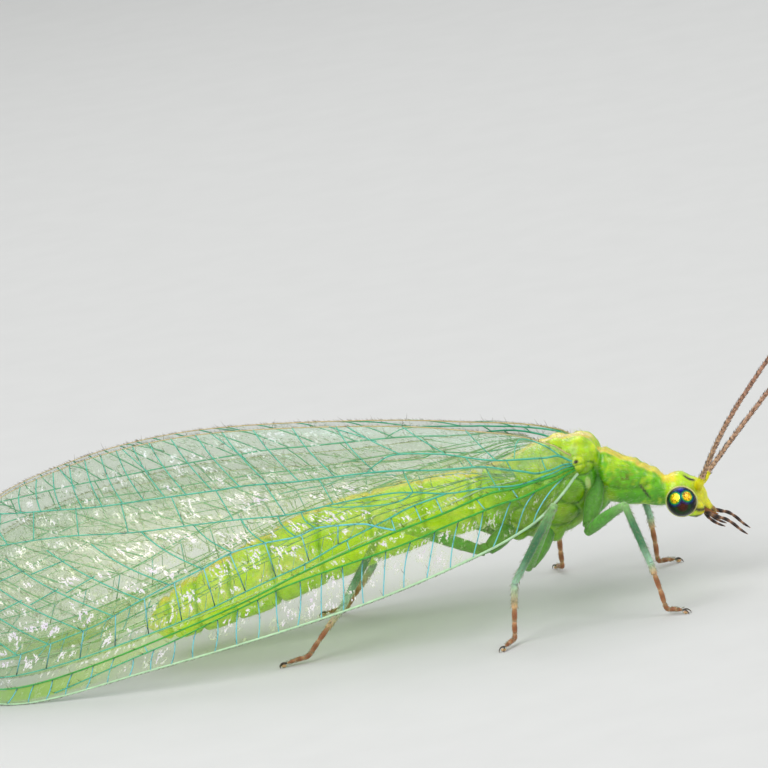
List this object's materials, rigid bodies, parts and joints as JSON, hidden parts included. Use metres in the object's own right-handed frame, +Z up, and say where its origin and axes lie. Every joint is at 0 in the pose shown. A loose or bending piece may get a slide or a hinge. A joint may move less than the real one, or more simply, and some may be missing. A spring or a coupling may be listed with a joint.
{
  "type": "green lacewing",
  "caption": "Life-size still model of a green lacewing at rest, with clear veined wings folded like a roof over the body and long feelers.",
  "frame": {"origin": "on the floor, under the middle of the whole figure", "axes": "+X the way the head faces, +Z up, +Y the insect's left"},
  "size_m": [0.0229, 0.008, 0.0091],
  "materials": {
    "skin": "satin",
    "face": "satin",
    "eye": "gloss",
    "leg": "satin",
    "wing": "gloss",
    "feeler": "matt",
    "palp": "matt"
  },
  "bodies": {
    "root": {"head": "face", "neck": "skin", "thorax": "skin", "abdomen": "skin", "eye_right": "eye", "eye_left": "eye", "antenna_right": "feeler", "antenna_left": "feeler", "palps_right": "palp", "palps_left": "palp", "forewing_right": "wing", "forewing_left": "wing", "hindwing_right": "wing", "hindwing_left": "wing", "fore_leg_right": "leg", "fore_leg_left": "leg", "mid_leg_right": "leg", "mid_leg_left": "leg", "hind_leg_right": "leg", "hind_leg_left": "leg"}
  },
  "joints": []
}
